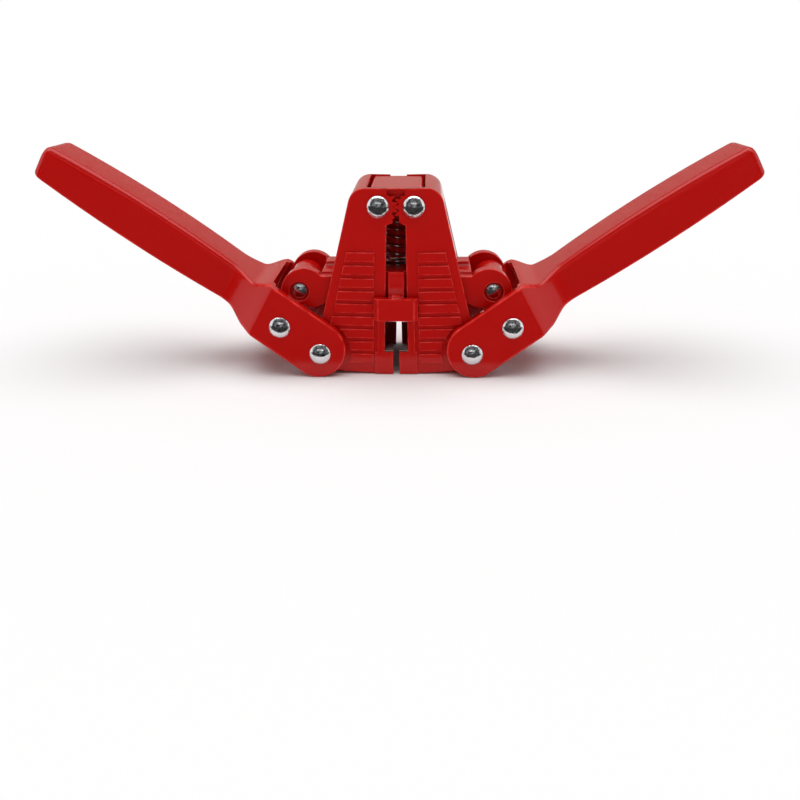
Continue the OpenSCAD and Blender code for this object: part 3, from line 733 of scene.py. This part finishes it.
mouldings = {node: rounded(node, radius * MM, MOULDING_SEGMENTS, chosen)
             for node, (radius, chosen) in ROUNDED_MOULDINGS.items()}
mouldings.update({node: smoothed(node) for node in SMOOTHED_MOULDINGS})
for node, mesh in mouldings.items():
    mesh.materials.append(red_plastic)
    put(node + "_moulding", mesh, body_of_node[node], [node])

# %% [markdown]
# ## The steel inside
# The bell is a turned steel cup, the magnet in its roof holds a cap in place, and two half collars of
# sheet steel take the bottle neck. They get a smaller edge, as turned and punched steel does. The
# screws stay as the solids have them, in zinc.

# %% Round the steel pieces
STEEL_SEGMENTS = 2
STEEL_PIECES = {
    "bell": (0.25, any_edge, painted_shade_steel, "dark_steel"),
    "bell_magnet": (0.2, any_edge, magnet_nickel, "magnet"),
    "left_neck_plate": (0.3, long_edge, painted_shade_steel, "dark_steel"),
    "right_neck_plate": (0.3, long_edge, painted_shade_steel, "dark_steel")}
SCREWS = ("bell_screw", "left_neck_plate_screws", "right_neck_plate_screws")

for node, (radius, chosen, finish, slot) in STEEL_PIECES.items():
    mesh = rounded(node, radius * MM, STEEL_SEGMENTS, chosen)
    mesh.materials.append(finish)
    put(node + "_steel", mesh, body_of_node[node], [node])
for node in SCREWS:
    nodes[node].data.materials.clear()
    nodes[node].data.materials.append(zinc_screw)

# %% [markdown]
# ## Running a Geometry Nodes tree
# The rivets repeat and the spring follows a path, so Geometry Nodes trees with named inputs make
# them. A tree runs as a modifier on a helper object. The result is copied to a plain mesh, and the
# modifier goes away with its helper.

# %% Define the helpers for the trees
WELD_DISTANCE = 1e-7


def node_math(tree, operation, first, second):
    """A math node with two inputs, each a socket or a number."""
    node = tree.nodes.new("ShaderNodeMath")
    node.operation = operation
    for socket, value in zip(node.inputs, (first, second)):
        if isinstance(value, (int, float)):
            socket.default_value = value
        else:
            tree.links.new(value, socket)
    return node.outputs[0]


def geometry_tree(name, inputs):
    """A Geometry Nodes tree with named inputs, and its two end nodes."""
    tree = bpy.data.node_groups.new(name, "GeometryNodeTree")
    tree.interface.new_socket("Geometry", in_out="INPUT", socket_type="NodeSocketGeometry")
    tree.interface.new_socket("Geometry", in_out="OUTPUT", socket_type="NodeSocketGeometry")
    for label, kind in inputs:
        tree.interface.new_socket(label, in_out="INPUT", socket_type="NodeSocket" + kind)
    return tree, tree.nodes.new("NodeGroupInput"), tree.nodes.new("NodeGroupOutput")


def finish_mesh(mesh):
    """Merges doubles and points the faces outwards."""
    bm = bmesh.new()
    bm.from_mesh(mesh)
    bmesh.ops.remove_doubles(bm, verts=bm.verts, dist=WELD_DISTANCE)
    bmesh.ops.recalc_face_normals(bm, faces=bm.faces)
    bm.to_mesh(mesh)
    bm.free()


def run_tree(tree, mesh, name, values):
    """Runs a tree on a mesh with its inputs set by identifier, and returns a plain mesh."""
    work = bpy.data.objects.new(name + "_work", mesh)
    scene.collection.objects.link(work)
    modifier = work.modifiers.new("tree", "NODES")
    modifier.node_group = tree
    for item in tree.interface.items_tree:
        if item.in_out == "INPUT" and item.name in values:
            modifier[item.identifier] = values[item.name]
    evaluated = work.evaluated_get(bpy.context.evaluated_depsgraph_get())
    result = bpy.data.meshes.new_from_object(evaluated)
    work.modifiers.clear()
    bpy.data.objects.remove(work)
    finish_mesh(result)
    return result


print("doubles merged within", WELD_DISTANCE / MM, "mm")

# %% [markdown]
# ## The rivets
# Eight shiny rivets hold the tool together: each has a shank and a domed head at both ends. Each is a
# turned shape. The modifier's own mesh is the half section, a line of points with the radius in X
# and the height in Z. The tree bends a grid round the axis by looking up the section point of each
# row, puts one copy on each place, and turns them along the depth. A Screw modifier could turn one
# rivet too, but the tree also places the copies.

# %% Bend a grid round the axis
SEAM_DISTANCE = 1e-6
turned, start, end = geometry_tree("turned_piece", [
    ("Sides", "Int"), ("Count", "Int"), ("First place", "Vector"), ("Second place", "Vector"),
    ("Turn", "Rotation"), ("Material", "Material")])
add, join = turned.nodes.new, turned.links.new
rows = add("GeometryNodeAttributeDomainSize")
join(start.outputs["Geometry"], rows.inputs["Geometry"])
grid = add("GeometryNodeMeshGrid")
grid.inputs["Size X"].default_value = 1
grid.inputs["Size Y"].default_value = 1
join(start.outputs["Sides"], grid.inputs["Vertices X"])
join(rows.outputs["Point Count"], grid.inputs["Vertices Y"])
where = add("GeometryNodeInputPosition")
split = add("ShaderNodeSeparateXYZ")
join(where.outputs[0], split.inputs[0])
last_row = node_math(turned, "SUBTRACT", rows.outputs["Point Count"], 1)
from_edge = node_math(turned, "ADD", split.outputs["Y"], 0.5)
row = node_math(turned, "ROUND", node_math(turned, "MULTIPLY", from_edge, last_row), 0)
section_place = add("GeometryNodeInputPosition")
section = add("GeometryNodeSampleIndex")
section.data_type = "FLOAT_VECTOR"
join(start.outputs["Geometry"], section.inputs["Geometry"])
join(section_place.outputs[0], section.inputs["Value"])
join(row, section.inputs["Index"])
section_split = add("ShaderNodeSeparateXYZ")
join(section.outputs["Value"], section_split.inputs[0])
radius = section_split.outputs["X"]
angle = node_math(turned, "MULTIPLY", split.outputs["X"], 2 * math.pi)
bent = add("ShaderNodeCombineXYZ")
for axis, turn in (("X", "COSINE"), ("Y", "SINE")):
    join(node_math(turned, "MULTIPLY", radius, node_math(turned, turn, angle, 0)), bent.inputs[axis])
join(section_split.outputs["Z"], bent.inputs["Z"])
wrap = add("GeometryNodeSetPosition")
join(grid.outputs["Mesh"], wrap.inputs["Geometry"])
join(bent.outputs[0], wrap.inputs["Position"])
weld = add("GeometryNodeMergeByDistance")
weld.inputs["Distance"].default_value = SEAM_DISTANCE
join(wrap.outputs[0], weld.inputs["Geometry"])
print("tree:", turned.name, "nodes so far:", len(turned.nodes))

# %% Place the copies
places = add("GeometryNodePoints")
join(start.outputs["Count"], places.inputs["Count"])
which = add("GeometryNodeInputIndex")
choose = add("GeometryNodeSwitch")
choose.input_type = "VECTOR"
join(which.outputs[0], choose.inputs["Switch"])
join(start.outputs["First place"], choose.inputs["False"])
join(start.outputs["Second place"], choose.inputs["True"])
join(choose.outputs[0], places.inputs["Position"])
copies = add("GeometryNodeInstanceOnPoints")
join(places.outputs[0], copies.inputs["Points"])
join(weld.outputs[0], copies.inputs["Instance"])
join(start.outputs["Turn"], copies.inputs["Rotation"])
real = add("GeometryNodeRealizeInstances")
join(copies.outputs[0], real.inputs[0])
paint = add("GeometryNodeSetMaterial")
join(real.outputs[0], paint.inputs["Geometry"])
join(start.outputs["Material"], paint.inputs["Material"])
join(paint.outputs[0], end.inputs["Geometry"])
print("tree:", turned.name, "nodes:", len(turned.nodes))

# %% [markdown]
# ## The rivets' sections and sets
# The half section is drawn from pole to pole: a dome, a low rim, a small undercut and the shank. Its
# sizes come from the box of the solid that it stands for. The rivets of one body are one piece.

# %% Turn the rivets
SHANK_RADIUS = 3.0 * MM
RIM_HEIGHT = 0.35 * MM
UNDERCUT = 0.12 * MM
DOME_STEPS = 12
LARGE_RADIUS = 4.6 * MM
LARGE_HEIGHT, SMALL_HEIGHT = 2.6 * MM, 1.7 * MM
RIVET_SIDES = 49
RIVET_CREASE = math.radians(40)
ALONG_DEPTH = Euler((math.radians(90), 0, 0))
RIVET_SETS = [("jaw_rivets", "frame", ["left_jaw_rivet", "right_jaw_rivet"]),
              ("left_handle_rivets", "left_handle", ["left_handle_rivet", "left_link_rivet"]),
              ("right_handle_rivets", "right_handle", ["right_handle_rivet", "right_link_rivet"]),
              ("left_ear_rivet_steel", "left_ear_rivet", ["left_ear_rivet"]),
              ("right_ear_rivet_steel", "right_ear_rivet", ["right_ear_rivet"])]


def rivet_section(half, shank, head, height):
    """Half section of a rivet, as points (radius, 0, height) from one pole to the other."""
    crown = height - RIM_HEIGHT
    ball = (head ** 2 + crown ** 2) / (2 * crown)
    widest = math.asin(head / ball)
    ball_centre = half + height - ball
    steps = [widest * i / DOME_STEPS for i in range(DOME_STEPS + 1)]
    top = [(ball * math.sin(a), ball_centre + ball * math.cos(a)) for a in steps]
    top += [(head, half + RIM_HEIGHT / 2), (head - UNDERCUT, half), (shank, half)]
    return [(r, 0, z) for r, z in top] + [(r, 0, -z) for r, z in reversed(top)]


def line_mesh(name, points):
    """A mesh of points joined in a row."""
    mesh = bpy.data.meshes.new(name)
    mesh.from_pydata(points, [(i, i + 1) for i in range(len(points) - 1)], [])
    return mesh


def middle_of(node):
    """Centre of a CAD node's box."""
    low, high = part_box(node)
    return (low + high) / 2


for name, body, members in RIVET_SETS:
    low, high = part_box(members[0])
    head_radius = (high.z - low.z) / 2
    head_height = LARGE_HEIGHT if head_radius > LARGE_RADIUS else SMALL_HEIGHT
    half_grip = (high.y - low.y) / 2 - head_height
    outline = rivet_section(half_grip, SHANK_RADIUS, head_radius, head_height)
    mesh = run_tree(turned, line_mesh(name + "_section", outline), name, {
        "Sides": RIVET_SIDES, "Count": len(members), "First place": middle_of(members[0]),
        "Second place": middle_of(members[-1]), "Turn": ALONG_DEPTH, "Material": rivet_nickel})
    mesh.shade_smooth()
    mesh.set_sharp_from_angle(angle=RIVET_CREASE)
    put(name, mesh, body, members)
    print(name, "faces:", len(mesh.polygons))

# %% [markdown]
# ## The return spring
# The spring sits between the yoke and the carriage and brings the carriage back after each stroke.
# It follows a path, so a Geometry Nodes tree winds it: a spiral curve, its height remapped so that
# the end coils lie close and the middle ones stand apart, and a round wire swept along it. When the
# carriage moves, the spring's length changes between two bodies, but here the wire is a plain mesh
# that stays where it is wound and rides on neither body.

# %% Build the winding tree
SPIRAL_STEPS = 40
WIRE_SIDES = 14
winding, start, end = geometry_tree("wound_wire", [
    ("Coil radius", "Float"), ("Wire radius", "Float"), ("Turns", "Float"), ("Low", "Float"),
    ("Lift", "Float"), ("Closing", "Float"), ("Material", "Material")])
add, join = winding.nodes.new, winding.links.new
spiral = add("GeometryNodeCurveSpiral")
spiral.inputs["Resolution"].default_value = SPIRAL_STEPS
spiral.inputs["Height"].default_value = 1.0
join(start.outputs["Turns"], spiral.inputs["Rotations"])
join(start.outputs["Coil radius"], spiral.inputs["Start Radius"])
join(start.outputs["Coil radius"], spiral.inputs["End Radius"])
share = add("GeometryNodeSplineParameter")
eased = add("ShaderNodeMapRange")
eased.interpolation_type = "SMOOTHSTEP"
join(share.outputs["Factor"], eased.inputs["Value"])
level = add("ShaderNodeMix")
join(start.outputs["Closing"], level.inputs["Factor"])
join(share.outputs["Factor"], level.inputs["A"])
join(eased.outputs["Result"], level.inputs["B"])
lift = node_math(winding, "MULTIPLY", level.outputs["Result"], start.outputs["Lift"])
height = node_math(winding, "ADD", lift, start.outputs["Low"])
on_spiral = add("GeometryNodeInputPosition")
flat = add("ShaderNodeSeparateXYZ")
join(on_spiral.outputs[0], flat.inputs[0])
lifted = add("ShaderNodeCombineXYZ")
join(flat.outputs["X"], lifted.inputs["X"])
join(flat.outputs["Y"], lifted.inputs["Y"])
join(height, lifted.inputs["Z"])
place = add("GeometryNodeSetPosition")
join(spiral.outputs[0], place.inputs["Geometry"])
join(lifted.outputs[0], place.inputs["Position"])
wire = add("GeometryNodeCurvePrimitiveCircle")
wire.inputs["Resolution"].default_value = WIRE_SIDES
join(start.outputs["Wire radius"], wire.inputs["Radius"])
sweep = add("GeometryNodeCurveToMesh")
sweep.inputs["Fill Caps"].default_value = True
join(place.outputs[0], sweep.inputs["Curve"])
join(wire.outputs["Curve"], sweep.inputs["Profile Curve"])
real = add("GeometryNodeRealizeInstances")
join(sweep.outputs[0], real.inputs[0])
paint = add("GeometryNodeSetMaterial")
join(real.outputs[0], paint.inputs["Geometry"])
join(start.outputs["Material"], paint.inputs["Material"])
join(paint.outputs[0], end.inputs["Geometry"])
print("tree:", winding.name, "nodes:", len(winding.nodes))

# %% Wind the spring
WIRE_RADIUS = 0.75 * MM
TURNS = 9.5
CLOSING = 0.5
spring_low, spring_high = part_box("return_spring")
spring_mesh = run_tree(winding, bpy.data.meshes.new("spring_seed"), "spring", {
    "Coil radius": (spring_high.x - spring_low.x) / 2 - WIRE_RADIUS, "Wire radius": WIRE_RADIUS,
    "Turns": TURNS, "Low": spring_low.z + WIRE_RADIUS,
    "Lift": spring_high.z - spring_low.z - 2 * WIRE_RADIUS,
    "Closing": CLOSING, "Material": spring_steel})
spring_mesh.shade_smooth()
spring = bpy.data.objects.new("return_spring_wire", spring_mesh)
scene.collection.objects.link(spring)
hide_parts("return_spring")
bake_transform(spring)
print("spring faces:", len(spring_mesh.polygons))
